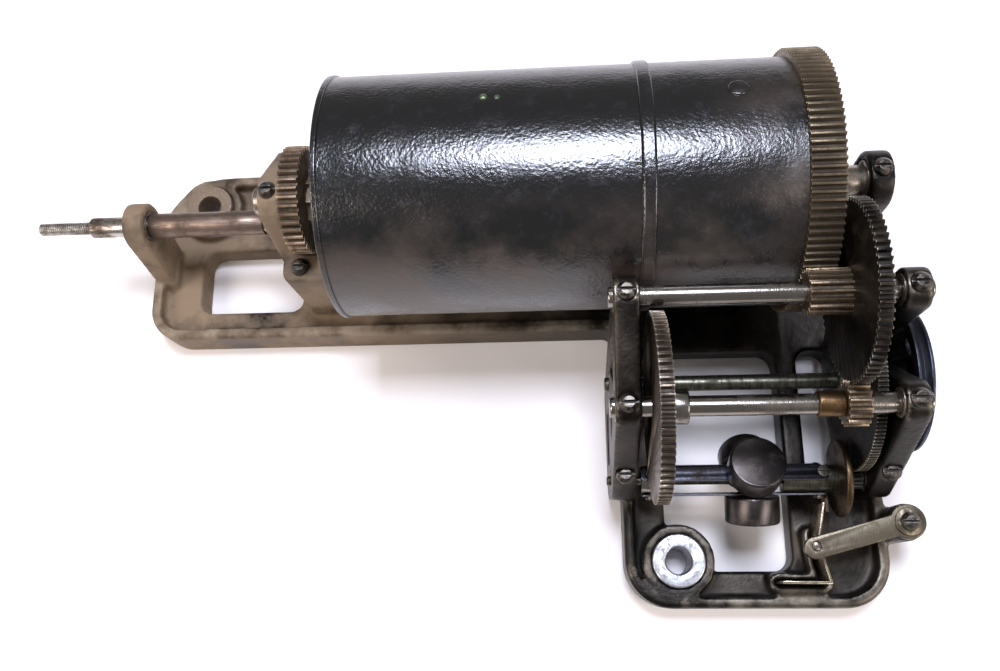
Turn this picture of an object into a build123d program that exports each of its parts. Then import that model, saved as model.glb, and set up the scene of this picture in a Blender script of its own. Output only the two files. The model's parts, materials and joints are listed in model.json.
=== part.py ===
"""Spring motor of a cylinder talking machine.

A wound mainspring barrel drives a train of four shafts, which ends in a belt pulley and a three-weight
governor. Everything hangs in one L-shaped iron casting. X runs along the barrel, Z is up, and the origin is
on the axis of the corner mounting bore, in the plane of the frame's underside.
"""

import os
from math import acos, ceil, cos, pi, radians, sin, sqrt, tan

from build123d import *

os.makedirs("parts", exist_ok=True)

# ---- driving dimensions, millimetres and degrees ----

# frame casting
FRAME_DEPTH = 17.0
FRAME_RIM = 4.0
FRAME_RECESS = 5.5
ARM_LEFT_X = -199.5
ARM_FRONT_Y = 84.5
BOX_LEFT_X = -18.5
BOX_FRONT_Y = -16.0
BOX_RIGHT_MARGIN = 3.0
WALL_THICKNESS = 8.0
LEFT_WALL_X = -23.0
RIGHT_WALL_GAP = 1.5
WALL_RADIUS = 6.5
FOOT_RADIUS = 6.0
BAR_WIDTH = 7.5
BAR_SETBACK = 8.5
RAIL_WIDTH = 17.0
WINDOW_CORNER = 5.0

# mounting bushings
MOUNT_BORE_RADIUS = 4.55
MOUNT_BUSH_RADIUS = 9.2
MOUNT_BOSS_RADIUS = 12.6
MOUNT_BUSH_PROUD = 1.2
ARM_MOUNT_INSET = (20.5, 13.5)
BACK_MOUNT_INSET = (19.6, 14.0)

# mainspring barrel
BARREL_X = -112.0
BARREL_FRONT_Y = 79.0
BARREL_RADIUS = 40.0
BARREL_Y = BARREL_FRONT_Y + BARREL_RADIUS
ARM_BACK_Y = BARREL_Y + 34.0
BARREL_WALL = 1.4
BARREL_FLOOR_GAP = 5.0
LONG_SECTION = 98.0
SEAM_WIDTH = 4.5
SHORT_SECTION = 44.2
SEAM_HEIGHT = 0.9
CAP_THICKNESS = 2.0
RIM_HEIGHT = 1.2
SPRING_STRIP = 0.9
SPRING_PITCH = 2.2
SPRING_TURNS = 9
SPRING_END_GAP = 1.5
SPRING_CLEARANCE = 0.3
ARBOR_RADIUS = 5.0

# gear teeth
GEAR_MODULE = 0.75
FINE_MODULE = 0.45
WINDING_MODULE = 0.9
PRESSURE_ANGLE = 20.0
ADDENDUM = 0.8
DEDENDUM = 1.0
BACKLASH = 0.1
RING_STEP = 1.25
RING_WIDTH = 10.0
GEAR_WIDTH = 4.0
GEAR_A_GAP = 2.4
GEAR_B_GAP = 3.0
GEAR_C_GAP = 6.2
PINION_A_INSET = 0.3
PINION_LAP = 1.2
FINE_WIDTH = 3.0
PINION_A_TEETH = 17
GEAR_A_TEETH = 72
PINION_B_TEETH = 17
GEAR_B_TEETH = 76
PINION_C_TEETH = 14
GEAR_C_TEETH = 132
GOVERNOR_TEETH = 14
WINDING_GEAR_TEETH = 39
WINDING_PINION_TEETH = 12

# direction from each shaft to the next, from +Y towards +Z
BARREL_TO_A = 156.5
A_TO_B = 200.0
B_TO_C = 294.5
C_TO_GOVERNOR = 198.5
ARBOR_TO_WINDING = 276.0

# shafts and bearings
SHAFT_RADIUS = 3.15
SHAFT_C_RADIUS = 2.6
GOVERNOR_SHAFT_RADIUS = 1.6
RUNNING_CLEARANCE = 0.05
BUSH_WALL = 1.4

# winding side
WINDING_GEAR_WIDTH = 6.7
WINDING_GEAR_GAP = 10.7
BRACKET_THICKNESS = 7.5
BRACKET_GAP = 2.2
WINDING_SHAFT_RADIUS = 3.75
THREAD_RADIUS = 2.35
THREAD_LENGTH = 20.0
SHAFT_OVERHANG = 15.0
SLEEVE_RADIUS = 4.6
SLEEVE_LENGTH = 43.0
EYE_RADIUS = 8.5
PILLAR_SHARE = 0.76
PILLAR_DEPTH = 10.6
BRACKET_FOOT_SPREAD = 14.0
EYE_FOOT_SHIFT = 8.0
EYE_THICKNESS = 8.0
EYE_MARGIN = 1.5
RATCHET_RADIUS = 12.0
RATCHET_TEETH = 12
RATCHET_WIDTH = 3.5
RATCHET_DEPTH = 2.2
CLICK_STUD_RADIUS = 2.0
CLICK_STUD_RING = 22.5
CLICK_STUD_ANGLE = -30.0
CLICK_TIP_RADIUS = 1.2

# belt pulley
PULLEY_RADIUS = 24.0
PULLEY_WIDTH = 5.0
PULLEY_GAP = 1.6
GROOVE_DEPTH = 1.6
PULLEY_HOLE_RADIUS = 3.0
PULLEY_HOLE_RING = 15.5
PULLEY_HOLE_ANGLE = 60.0

# governor
LEAF_ANGLES = (74.0, 194.0, 314.0)
LEAF_THICKNESS = 0.5
LEAF_WIDTH = 5.0
LEAF_END_GAP = 2.0
LEAF_LAP = 14.5
HUB_RADIUS = 4.6
HUB_LENGTH = 7.0
GOVERNOR_SLEEVE_LENGTH = 17.8
SLEEVE_GAP = 0.1
SLEEVE_TRAVEL = 1.0
WEIGHT_LEAD = 10.0
WEIGHT_RADIUS = 9.0
WEIGHT_THICKNESS = 9.3
WEIGHT_GAP = 0.1
DISC_RADIUS = 12.9
DISC_THICKNESS = 2.2
DISC_CLEARANCE = 2.1

# speed lever and brake
LEVER_OVERHANG = 2.9
LEVER_SETBACK = 14.4
LEVER_REACH = (-31.0, -8.3)
LEVER_LIFT = 11.5
LEVER_PIN_INSET = 0.6
LEVER_THICKNESS = 2.0
LEVER_WIDTH = 7.2
LEVER_EYE_RADIUS = 5.8
LEVER_POST_RADIUS = 6.2
LEVER_SCREW_RADIUS = 2.0
LEVER_PIN_RADIUS = 1.4
LEVER_PIN_LENGTH = 6.0
WASHER_THICKNESS = 0.8
WASHER_GAP = 0.1
BRAKE_STRIP = 0.9
BRAKE_WEB_GAP = 2.0
# bends of the brake spring, from the front face of the disc and the corner bore
BRAKE_BENDS = ((-18.8, -7.4), (-3.4, -7.6), (-5.1, -0.2), (-5.8, 8.0))
PAD_SETBACK = 8.0
BRAKE_GROOVE_GAP = 0.9
BRAKE_LAND = 3.2
BRAKE_GAP = 1.8
PAD_THICKNESS = 1.2
PAD_HEIGHT = 5.0
PAD_WIDTH = 5.5

# screws
SCREW_HEAD_RADIUS = 3.0
SCREW_HEAD_HEIGHT = 2.4
SCREW_SHANK_RADIUS = 1.4
SLOT_WIDTH = 0.8
SLOT_DEPTH = 1.1
SMALL_HEAD_RADIUS = 1.9
SMALL_HEAD_HEIGHT = 1.3

# ---- places worked out from those ----

RING_TEETH = ceil(2 * (BARREL_RADIUS + RING_STEP) / GEAR_MODULE) + 2


def tip_radius(teeth, module):
    """Outer radius of a spur gear."""
    return module * (teeth / 2 + ADDENDUM)


def root_radius(teeth, module):
    """Radius at the foot of a spur gear's teeth."""
    return module * (teeth / 2 - DEDENDUM)


def polar(centre, distance, angle):
    """Point in a YZ plane at a distance and an angle from a centre."""
    return (centre[0] + distance * cos(radians(angle)), centre[1] + distance * sin(radians(angle)))


def meshed(centre, module, teeth, other_teeth, angle):
    """Centre of a gear that meshes with one at the given centre."""
    return polar(centre, module * (teeth + other_teeth) / 2, angle)


ARM_MOUNT = (ARM_LEFT_X + ARM_MOUNT_INSET[0], ARM_BACK_Y - ARM_MOUNT_INSET[1])
BARREL_Z = FRAME_DEPTH + BARREL_FLOOR_GAP + tip_radius(RING_TEETH, GEAR_MODULE)
BARREL = (BARREL_Y, BARREL_Z)
SHAFT_A = meshed(BARREL, GEAR_MODULE, RING_TEETH, PINION_A_TEETH, BARREL_TO_A)
SHAFT_B = meshed(SHAFT_A, GEAR_MODULE, GEAR_A_TEETH, PINION_B_TEETH, A_TO_B)
SHAFT_C = meshed(SHAFT_B, GEAR_MODULE, GEAR_B_TEETH, PINION_C_TEETH, B_TO_C)
GOVERNOR = meshed(SHAFT_C, FINE_MODULE, GEAR_C_TEETH, GOVERNOR_TEETH, C_TO_GOVERNOR)
WINDING = meshed(BARREL, WINDING_MODULE, WINDING_GEAR_TEETH, WINDING_PINION_TEETH, ARBOR_TO_WINDING)

SEAM_X = BARREL_X + LONG_SECTION
SHORT_X = SEAM_X + SEAM_WIDTH
RING_X = SHORT_X + SHORT_SECTION - RIM_HEIGHT
RING_END_X = RING_X + RING_WIDTH
GEAR_A_X = RING_END_X + GEAR_A_GAP
PINION_A_X = RING_X + PINION_A_INSET
PINION_B_X = GEAR_A_X - PINION_LAP
PINION_B_WIDTH = GEAR_WIDTH + 2 * PINION_LAP
GEAR_B_X = LEFT_WALL_X + WALL_THICKNESS + GEAR_B_GAP
GEAR_B_HUB_LENGTH = 7.0
PINION_C_WIDTH = GEAR_WIDTH + 2.0
GEAR_C_X = GEAR_A_X + GEAR_WIDTH + GEAR_C_GAP
DISC_X = GEAR_C_X - DISC_CLEARANCE - DISC_THICKNESS
SLEEVE_X = DISC_X - GOVERNOR_SLEEVE_LENGTH
WEIGHT_X = SLEEVE_X - WEIGHT_LEAD
LEAF_X = LEFT_WALL_X + WALL_THICKNESS + LEAF_END_GAP
LEAF_LENGTH = SLEEVE_X + LEAF_LAP - LEAF_X
RIGHT_WALL_X = GEAR_C_X + FINE_WIDTH + RIGHT_WALL_GAP
RIGHT_WALL_END_X = RIGHT_WALL_X + WALL_THICKNESS
PULLEY_X = RIGHT_WALL_END_X + PULLEY_GAP
BOX_RIGHT_X = RIGHT_WALL_END_X + BOX_RIGHT_MARGIN
BACK_MOUNT = (BOX_RIGHT_X - BACK_MOUNT_INSET[0], ARM_BACK_Y - BACK_MOUNT_INSET[1])
LEVER_PIVOT = (BOX_RIGHT_X + LEVER_OVERHANG, GOVERNOR[0] - LEVER_SETBACK)
LEVER_TIP = (LEVER_PIVOT[0] + LEVER_REACH[0], LEVER_PIVOT[1] + LEVER_REACH[1])
LEVER_Z = FRAME_DEPTH + LEVER_LIFT
WINDING_GEAR_X = BARREL_X - WINDING_GEAR_GAP - WINDING_GEAR_WIDTH
BRACKET_X = WINDING_GEAR_X - BRACKET_GAP - BRACKET_THICKNESS
BRACKET_END_X = BRACKET_X + BRACKET_THICKNESS
RATCHET_X = WINDING_GEAR_X + WINDING_GEAR_WIDTH + 1.2
EYE_X = ARM_LEFT_X + EYE_MARGIN
SHAFT_START_X = EYE_X - SHAFT_OVERHANG - THREAD_LENGTH
WEB_Z = FRAME_DEPTH - FRAME_RECESS
BRAKE_BOTTOM_Z = WEB_Z + BRAKE_WEB_GAP
BAR_X = GEAR_C_X - BAR_SETBACK - BAR_WIDTH


# ---- shared shapes ----


def turned(x_start, x_end, radius, centre, mode=Mode.ADD):
    """Cylinder along X between two stations, about a point in YZ."""
    with Locations((x_start, *centre)):
        Cylinder(
            radius,
            x_end - x_start,
            rotation=(0, 90, 0),
            align=(Align.CENTER, Align.CENTER, Align.MIN),
            mode=mode,
        )


def upright(x, y, z_start, z_end, radius, mode=Mode.ADD):
    """Cylinder along Z."""
    with Locations((x, y, z_start)):
        Cylinder(radius, z_end - z_start, align=(Align.CENTER, Align.CENTER, Align.MIN), mode=mode)


def strut(start, end, start_radius, end_radius):
    """Tapered link with round ends, drawn in a YZ plane."""
    with BuildSketch() as link:
        with Locations(start):
            Circle(start_radius)
        with Locations(end):
            Circle(end_radius)
        make_hull()
    return link.sketch


def gear_profile(teeth, module, phase):
    """Involute spur gear outline with one tooth centred on the phase angle."""
    pitch_radius = module * teeth / 2
    base_radius = pitch_radius * cos(radians(PRESSURE_ANGLE))
    involute_at_pitch = tan(radians(PRESSURE_ANGLE)) - radians(PRESSURE_ANGLE)
    half_tooth = pi / (2 * teeth) - BACKLASH / (2 * pitch_radius)
    tip, root = tip_radius(teeth, module), root_radius(teeth, module)
    flank = []
    for radius in (root, max(base_radius, root + 0.05 * module), pitch_radius, (pitch_radius + tip) / 2, tip):
        roll = acos(min(1.0, base_radius / radius))
        flank.append((radius, half_tooth + involute_at_pitch - (tan(roll) - roll)))
    points = []
    for tooth in range(teeth):
        middle = radians(phase) + 2 * pi * tooth / teeth
        for radius, half in flank:
            points.append((radius * cos(middle - half), radius * sin(middle - half)))
        for radius, half in reversed(flank):
            points.append((radius * cos(middle + half), radius * sin(middle + half)))
    with BuildSketch() as profile:
        with BuildLine():
            Polyline(*points, close=True)
        make_face()
    return profile.sketch


def partner_phase(phase, teeth, other_teeth, angle):
    """Phase that sets the other gear's gap on this gear's tooth."""
    lead = (phase - angle) % (360 / teeth) * teeth / 360
    return angle + 180 - lead * 360 / other_teeth + 180 / other_teeth


def placed_profile(x, centre):
    """Sketch plane square to X with its origin on a shaft."""
    return Plane(origin=(x, *centre), x_dir=(0, 1, 0), z_dir=(1, 0, 0))


def gear_solid(x, width, centre, teeth, module, phase, bore):
    """Spur gear with a plain bore, made in the current part."""
    with BuildSketch(placed_profile(x, centre)) as face:
        add(gear_profile(teeth, module, phase))
        Circle(bore, mode=Mode.SUBTRACT)
    extrude(face.sketch, amount=width)


def slotted_head(x, y, z, radius=SCREW_HEAD_RADIUS, height=SCREW_HEAD_HEIGHT):
    """Round screw head standing on a level seat, with a screwdriver slot."""
    with Locations((x, y, z)):
        Cylinder(radius, height / 2, align=(Align.CENTER, Align.CENTER, Align.MIN))
    with Locations((x, y, z + height / 2)):
        Cone(radius, radius * 0.6, height / 2, align=(Align.CENTER, Align.CENTER, Align.MIN))
    with Locations((x, y, z + height)):
        Box(2 * radius, SLOT_WIDTH, 2 * min(SLOT_DEPTH, height / 2), mode=Mode.SUBTRACT)


def write_step(shape, name):
    """Label a finished shape and write its STEP file."""
    shape.label = name
    export_step(shape, f"parts/{name}.step")


def finish(part, name):
    """Write a finished sub-part."""
    write_step(part.part, name)


# ---- frame casting ----

LEFT_BEARINGS = {
    "a": (SHAFT_A, SHAFT_RADIUS),
    "b": (SHAFT_B, SHAFT_RADIUS),
    "c": (SHAFT_C, SHAFT_C_RADIUS),
    "governor": (GOVERNOR, GOVERNOR_SHAFT_RADIUS),
}
RIGHT_BEARINGS = {**LEFT_BEARINGS, "arbor": (BARREL, ARBOR_RADIUS)}
WINDING_BEARINGS = (
    (BRACKET_X, BRACKET_THICKNESS, BARREL, ARBOR_RADIUS),
    (BRACKET_X, BRACKET_THICKNESS, WINDING, WINDING_SHAFT_RADIUS),
    (EYE_X, EYE_THICKNESS, WINDING, WINDING_SHAFT_RADIUS),
)
ARBOR_BOSS_RADIUS = ARBOR_RADIUS + RUNNING_CLEARANCE + BUSH_WALL + 3.0
FOOT_Z = FRAME_DEPTH / 2
FRONT_FOOT = (GOVERNOR[0] + 2.0, FOOT_Z)
MIDDLE_FOOT = (SHAFT_A[0] - 16.0, FOOT_Z)
SHAFT_A_FOOT = (SHAFT_A[0], FOOT_Z)
LEVER_POST_TOP = LEVER_Z - LEVER_THICKNESS / 2
BRAKE_TOP_Z = LEVER_Z - LEVER_THICKNESS / 2 - 0.6
BRAKE_TIP_X = DISC_X - BRAKE_GAP - PAD_THICKNESS - BRAKE_STRIP / 2
BRAKE_TIP_Y = GOVERNOR[0] - PAD_SETBACK
BRAKE_PATH = (*((DISC_X + x, y) for x, y in BRAKE_BENDS), (BRAKE_TIP_X, BRAKE_TIP_Y))
PILLAR_BACK_Y = BARREL_Y - tip_radius(WINDING_GEAR_TEETH, WINDING_MODULE) * PILLAR_SHARE
PILLAR_FRONT_Y = PILLAR_BACK_Y - PILLAR_DEPTH
PILLAR_TOP_Z = BARREL_Z - tip_radius(WINDING_GEAR_TEETH, WINDING_MODULE) * PILLAR_SHARE
EYE_FOOT = (WINDING[0] - EYE_FOOT_SHIFT, FOOT_Z)
BRACKET_FEET = ((BARREL_Y - BRACKET_FOOT_SPREAD, FOOT_Z), (BARREL_Y + BRACKET_FOOT_SPREAD, FOOT_Z))
CORNER_MOUNT = (0.0, 0.0)
MOUNTS = (CORNER_MOUNT, ARM_MOUNT, BACK_MOUNT)

WINDOWS = {
    "arm": (ARM_LEFT_X + RAIL_WIDTH + 1.0, BRACKET_X - 1.0, ARM_FRONT_Y + 12.0, BARREL_Y + 3.5),
    "barrel": (BARREL_X + 10.0, RING_X - 14.0, ARM_FRONT_Y + 12.0, ARM_BACK_Y - 12.0),
    "box": (BOX_LEFT_X + RAIL_WIDTH - 2.0, BAR_X, BOX_FRONT_Y + 12.5, ARM_FRONT_Y - 8.5),
    "gear": (BAR_X + BAR_WIDTH, RIGHT_WALL_X - 0.5, GOVERNOR[0] + 1.0, ARM_FRONT_Y - 8.5),
}


def strut_top(lower, upper):
    """Height of a strut's surface straight above its lower centre."""
    run, rise = upper[0] - lower[0], upper[1] - lower[1]
    return lower[1] + WALL_RADIUS * sqrt(run**2 + rise**2) / abs(run)


def bush_radius(shaft_radius):
    """Outer radius of the bush that a shaft runs in."""
    return shaft_radius + RUNNING_CLEARANCE + BUSH_WALL


SHAFT_A_SEAT = (SHAFT_A, SHAFT_RADIUS, SHAFT_A[1] + WALL_RADIUS)
GOVERNOR_SEAT = (GOVERNOR, GOVERNOR_SHAFT_RADIUS, strut_top(GOVERNOR, SHAFT_B))
LEFT_SEATS = (SHAFT_A_SEAT, (SHAFT_B, SHAFT_RADIUS, strut_top(SHAFT_B, SHAFT_A)), GOVERNOR_SEAT)
RIGHT_SEATS = (SHAFT_A_SEAT, (SHAFT_B, SHAFT_RADIUS, SHAFT_B[1] + WALL_RADIUS), GOVERNOR_SEAT)
ARBOR_SEAT = (BARREL, ARBOR_RADIUS, BARREL_Z + ARBOR_BOSS_RADIUS)
SCREW_SEATS = (
    *((LEFT_WALL_X + WALL_THICKNESS / 2, *seat) for seat in LEFT_SEATS),
    *((RIGHT_WALL_X + WALL_THICKNESS / 2, *seat) for seat in (*RIGHT_SEATS, ARBOR_SEAT)),
    (BRACKET_X + BRACKET_THICKNESS / 2, *ARBOR_SEAT),
)
PILLAR_SCREW = (BRACKET_X + BRACKET_THICKNESS + 2.0, (PILLAR_FRONT_Y + PILLAR_BACK_Y) / 2)
SCREW_SINK = 0.6
CLICK_STUD = polar(BARREL, CLICK_STUD_RING, CLICK_STUD_ANGLE)


with BuildPart() as frame:
    with BuildSketch() as outline:
        with BuildLine():
            FilletPolyline(
                (ARM_LEFT_X, ARM_FRONT_Y),
                (BOX_LEFT_X, ARM_FRONT_Y),
                (BOX_LEFT_X, BOX_FRONT_Y),
                (BOX_RIGHT_X, BOX_FRONT_Y),
                (BOX_RIGHT_X, ARM_BACK_Y),
                (ARM_LEFT_X, ARM_BACK_Y),
                radius=[13, 5, 16, 16, 14, 28],
                close=True,
            )
        make_face()
    extrude(amount=FRAME_DEPTH)
    fillet(frame.faces().sort_by(Axis.Z)[-1].edges(), radius=FRAME_RIM / 3)
    # the top is sunk inside a raised rim
    with BuildSketch(Plane.XY.offset(WEB_Z)):
        offset(outline.sketch, amount=-FRAME_RIM)
    extrude(amount=FRAME_RECESS, mode=Mode.SUBTRACT)
    for x_low, x_high, y_low, y_high in WINDOWS.values():
        with BuildSketch():
            with Locations(((x_low + x_high) / 2, (y_low + y_high) / 2)):
                RectangleRounded(x_high - x_low, y_high - y_low, WINDOW_CORNER)
        extrude(amount=FRAME_DEPTH, mode=Mode.SUBTRACT)
    for x, y in MOUNTS:
        upright(x, y, 0, FRAME_DEPTH, MOUNT_BOSS_RADIUS)
    # left bearing wall
    with BuildSketch(Plane.YZ.offset(LEFT_WALL_X)):
        add(strut(SHAFT_A, MIDDLE_FOOT, WALL_RADIUS, FOOT_RADIUS))
        add(strut(SHAFT_A, SHAFT_B, WALL_RADIUS, WALL_RADIUS))
        add(strut(SHAFT_B, SHAFT_C, WALL_RADIUS, WALL_RADIUS))
        add(strut(SHAFT_B, GOVERNOR, WALL_RADIUS, WALL_RADIUS))
        add(strut(SHAFT_C, MIDDLE_FOOT, WALL_RADIUS, FOOT_RADIUS))
        add(strut(GOVERNOR, FRONT_FOOT, WALL_RADIUS, FOOT_RADIUS))
        add(strut(SHAFT_C, GOVERNOR, WALL_RADIUS, WALL_RADIUS))
        add(strut(FRONT_FOOT, MIDDLE_FOOT, FOOT_RADIUS, FOOT_RADIUS))
    extrude(amount=WALL_THICKNESS)
    # right bearing wall: a post each for the arbor and the first shaft, and a web for the other three
    with BuildSketch(Plane.YZ.offset(RIGHT_WALL_X)):
        add(strut(BARREL, (BARREL_Y, ARBOR_BOSS_RADIUS), ARBOR_BOSS_RADIUS, ARBOR_BOSS_RADIUS))
        add(strut(SHAFT_A, SHAFT_A_FOOT, WALL_RADIUS, FOOT_RADIUS))
        add(strut(SHAFT_B, SHAFT_C, WALL_RADIUS, WALL_RADIUS))
        add(strut(SHAFT_B, GOVERNOR, WALL_RADIUS, WALL_RADIUS))
        add(strut(SHAFT_C, GOVERNOR, WALL_RADIUS, WALL_RADIUS))
        add(strut(SHAFT_C, MIDDLE_FOOT, WALL_RADIUS, FOOT_RADIUS))
        add(strut(GOVERNOR, FRONT_FOOT, WALL_RADIUS, FOOT_RADIUS))
    extrude(amount=WALL_THICKNESS)
    # bracket and pillar at the winding end
    with BuildSketch(Plane.YZ.offset(BRACKET_X)):
        with Locations(BARREL):
            Circle(ARBOR_BOSS_RADIUS)
        with Locations(*BRACKET_FEET):
            Circle(FOOT_RADIUS)
        with Locations(CLICK_STUD):
            Circle(CLICK_STUD_RADIUS + 2.5)
        make_hull()
    extrude(amount=BRACKET_THICKNESS)
    with BuildSketch(Plane.XY.offset(FOOT_Z)):
        with Locations(((BRACKET_X + BARREL_X) / 2, (PILLAR_FRONT_Y + PILLAR_BACK_Y) / 2)):
            RectangleRounded(BARREL_X - BRACKET_X - 6.0, PILLAR_BACK_Y - PILLAR_FRONT_Y, 3.5)
    extrude(amount=PILLAR_TOP_Z - FOOT_Z)
    # eye that carries the crank end of the winding shaft
    with BuildSketch(Plane.YZ.offset(EYE_X)):
        add(strut(WINDING, EYE_FOOT, EYE_RADIUS, EYE_RADIUS - 1.0))
    extrude(amount=EYE_THICKNESS)
    # post under the speed lever and the pad that holds the brake spring
    upright(*LEVER_PIVOT, 0, LEVER_POST_TOP, LEVER_POST_RADIUS)
    with BuildSketch():
        with Locations((LEVER_PIVOT[0] - 6.0, LEVER_PIVOT[1])):
            Rectangle(14.0, 2 * LEVER_POST_RADIUS)
    extrude(amount=WEB_Z)
    with BuildSketch(Plane.XY.offset(FOOT_Z)):
        for start, end in zip(BRAKE_PATH[:3], BRAKE_PATH[1:4]):
            add(strut(start, end, BRAKE_LAND, BRAKE_LAND))
    extrude(amount=FRAME_DEPTH + 1.0 - FOOT_Z)
    with BuildSketch(Plane.XY.offset(BRAKE_BOTTOM_Z - 0.5)):
        for start, end in zip(BRAKE_PATH, BRAKE_PATH[1:]):
            add(strut(start, end, BRAKE_STRIP / 2 + BRAKE_GROOVE_GAP, BRAKE_STRIP / 2 + BRAKE_GROOVE_GAP))
    extrude(amount=BRAKE_TOP_Z - BRAKE_BOTTOM_Z, mode=Mode.SUBTRACT)
    # holes for bushings, bearing bushes and screws
    for x, y in MOUNTS:
        upright(x, y, 0, FRAME_DEPTH, MOUNT_BUSH_RADIUS, Mode.SUBTRACT)
    for centre, radius in LEFT_BEARINGS.values():
        turned(LEFT_WALL_X, LEFT_WALL_X + WALL_THICKNESS, bush_radius(radius), centre, Mode.SUBTRACT)
    for centre, radius in RIGHT_BEARINGS.values():
        turned(RIGHT_WALL_X, RIGHT_WALL_END_X, bush_radius(radius), centre, Mode.SUBTRACT)
    for start_x, thickness, centre, radius in WINDING_BEARINGS:
        turned(start_x, start_x + thickness, bush_radius(radius), centre, Mode.SUBTRACT)
    for x, (y, z), _, seat in SCREW_SEATS:
        upright(x, y, z, seat, SCREW_SHANK_RADIUS, Mode.SUBTRACT)
        upright(x, y, seat - SCREW_SINK, seat + SCREW_HEAD_HEIGHT, SCREW_HEAD_RADIUS, Mode.SUBTRACT)
    upright(*PILLAR_SCREW, WEB_Z, PILLAR_TOP_Z, SCREW_SHANK_RADIUS, Mode.SUBTRACT)
    upright(*LEVER_PIVOT, WEB_Z, LEVER_POST_TOP, LEVER_SCREW_RADIUS, Mode.SUBTRACT)
    turned(BRACKET_X, BRACKET_END_X, CLICK_STUD_RADIUS, CLICK_STUD, Mode.SUBTRACT)

# the one casting is handed on as nine blocks that meet on flat cuts, so that each keeps a simple shape
BLOCK_CUT_Z = FRAME_DEPTH + 1.5
BLOCK_CUT_X = LEFT_WALL_X - 1.0
trays = split(frame.part, bisect_by=Plane.XY.offset(BLOCK_CUT_Z), keep=Keep.BOTTOM)
uprights = split(frame.part, bisect_by=Plane.XY.offset(BLOCK_CUT_Z), keep=Keep.TOP)
arm_block = split(trays, bisect_by=Plane.YZ.offset(BLOCK_CUT_X), keep=Keep.BOTTOM)
gearbox_block = split(trays, bisect_by=Plane.YZ.offset(BLOCK_CUT_X), keep=Keep.TOP)
for block, name in zip(
    (
        *arm_block.solids(),
        *gearbox_block.solids(),
        *sorted(uprights.solids(), key=lambda block: (round(block.bounding_box().min.X), block.center().Y)),
    ),
    (
        "frame_arm",
        "frame_gearbox_tray",
        "frame_crank_eye",
        "frame_winding_bracket",
        "frame_left_wall",
        "frame_right_wall",
        "frame_shaft_a_post",
        "frame_arbor_post",
        "frame_lever_post",
    ),
    strict=True,
):
    write_step(block, name)

with BuildPart() as mounting_bushings:
    for x, y in MOUNTS:
        upright(x, y, 0, FRAME_DEPTH + MOUNT_BUSH_PROUD, MOUNT_BUSH_RADIUS)
        upright(x, y, 0, FRAME_DEPTH + MOUNT_BUSH_PROUD, MOUNT_BORE_RADIUS, Mode.SUBTRACT)
    chamfer(mounting_bushings.edges().group_by(Axis.Z)[-1], length=0.4)
finish(mounting_bushings, "mounting_bushings")


def bush(start_x, thickness, centre, radius):
    """Plain bearing bush, flush with the wall it is pressed into."""
    turned(start_x, start_x + thickness, bush_radius(radius), centre)
    turned(start_x, start_x + thickness, radius + RUNNING_CLEARANCE, centre, Mode.SUBTRACT)


with BuildPart() as left_bearing_bushes:
    for centre, radius in LEFT_BEARINGS.values():
        bush(LEFT_WALL_X, WALL_THICKNESS, centre, radius)
finish(left_bearing_bushes, "left_bearing_bushes")

with BuildPart() as right_bearing_bushes:
    for centre, radius in RIGHT_BEARINGS.values():
        bush(RIGHT_WALL_X, WALL_THICKNESS, centre, radius)
finish(right_bearing_bushes, "right_bearing_bushes")

with BuildPart() as winding_bushes:
    for start_x, thickness, centre, radius in WINDING_BEARINGS:
        bush(start_x, thickness, centre, radius)
finish(winding_bushes, "winding_bushes")

with BuildPart() as bearing_set_screws:
    for x, (y, z), radius, seat in SCREW_SEATS:
        upright(x, y, z + bush_radius(radius) + 0.1, seat - SCREW_SINK, SCREW_SHANK_RADIUS)
        slotted_head(x, y, seat - SCREW_SINK)
finish(bearing_set_screws, "bearing_set_screws")

with BuildPart() as pillar_screw:
    upright(*PILLAR_SCREW, WEB_Z, PILLAR_TOP_Z, SCREW_SHANK_RADIUS)
    slotted_head(*PILLAR_SCREW, PILLAR_TOP_Z)
finish(pillar_screw, "pillar_screw")

# ---- mainspring barrel ----

SHELL_INNER_RADIUS = BARREL_RADIUS - BARREL_WALL
BORE_ON_ARBOR = ARBOR_RADIUS + RUNNING_CLEARANCE
HUB_ON_ARBOR = ARBOR_RADIUS + 4.5
SPIGOT_LENGTH = 2.0
END_PLATE = 2.5

with BuildPart() as barrel_left_cap:
    turned(BARREL_X, BARREL_X + CAP_THICKNESS, BARREL_RADIUS + RIM_HEIGHT / 2, BARREL)
    turned(BARREL_X + CAP_THICKNESS, BARREL_X + CAP_THICKNESS + SPIGOT_LENGTH, SHELL_INNER_RADIUS, BARREL)
    turned(
        BARREL_X + CAP_THICKNESS,
        BARREL_X + CAP_THICKNESS + SPIGOT_LENGTH,
        SHELL_INNER_RADIUS - SPIGOT_LENGTH,
        BARREL,
        Mode.SUBTRACT,
    )
    turned(BARREL_X - 2.0, BARREL_X + 6.0, HUB_ON_ARBOR, BARREL)
    turned(BARREL_X - 2.0, BARREL_X + 6.0, BORE_ON_ARBOR, BARREL, Mode.SUBTRACT)
    fillet(barrel_left_cap.edges().filter_by(GeomType.CIRCLE).sort_by(SortBy.RADIUS)[-2:], radius=0.6)
finish(barrel_left_cap, "barrel_left_cap")

with BuildPart() as barrel_long_shell:
    turned(BARREL_X + CAP_THICKNESS, SEAM_X, BARREL_RADIUS, BARREL)
    turned(BARREL_X + CAP_THICKNESS, SEAM_X, SHELL_INNER_RADIUS, BARREL, Mode.SUBTRACT)
finish(barrel_long_shell, "barrel_long_shell")

with BuildPart() as barrel_seam_band:
    turned(SEAM_X, SHORT_X, BARREL_RADIUS + SEAM_HEIGHT, BARREL)
    fillet(barrel_seam_band.edges(), radius=SEAM_HEIGHT * 0.9)
    turned(SEAM_X, SHORT_X, BORE_ON_ARBOR, BARREL, Mode.SUBTRACT)
finish(barrel_seam_band, "barrel_seam_band")

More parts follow.
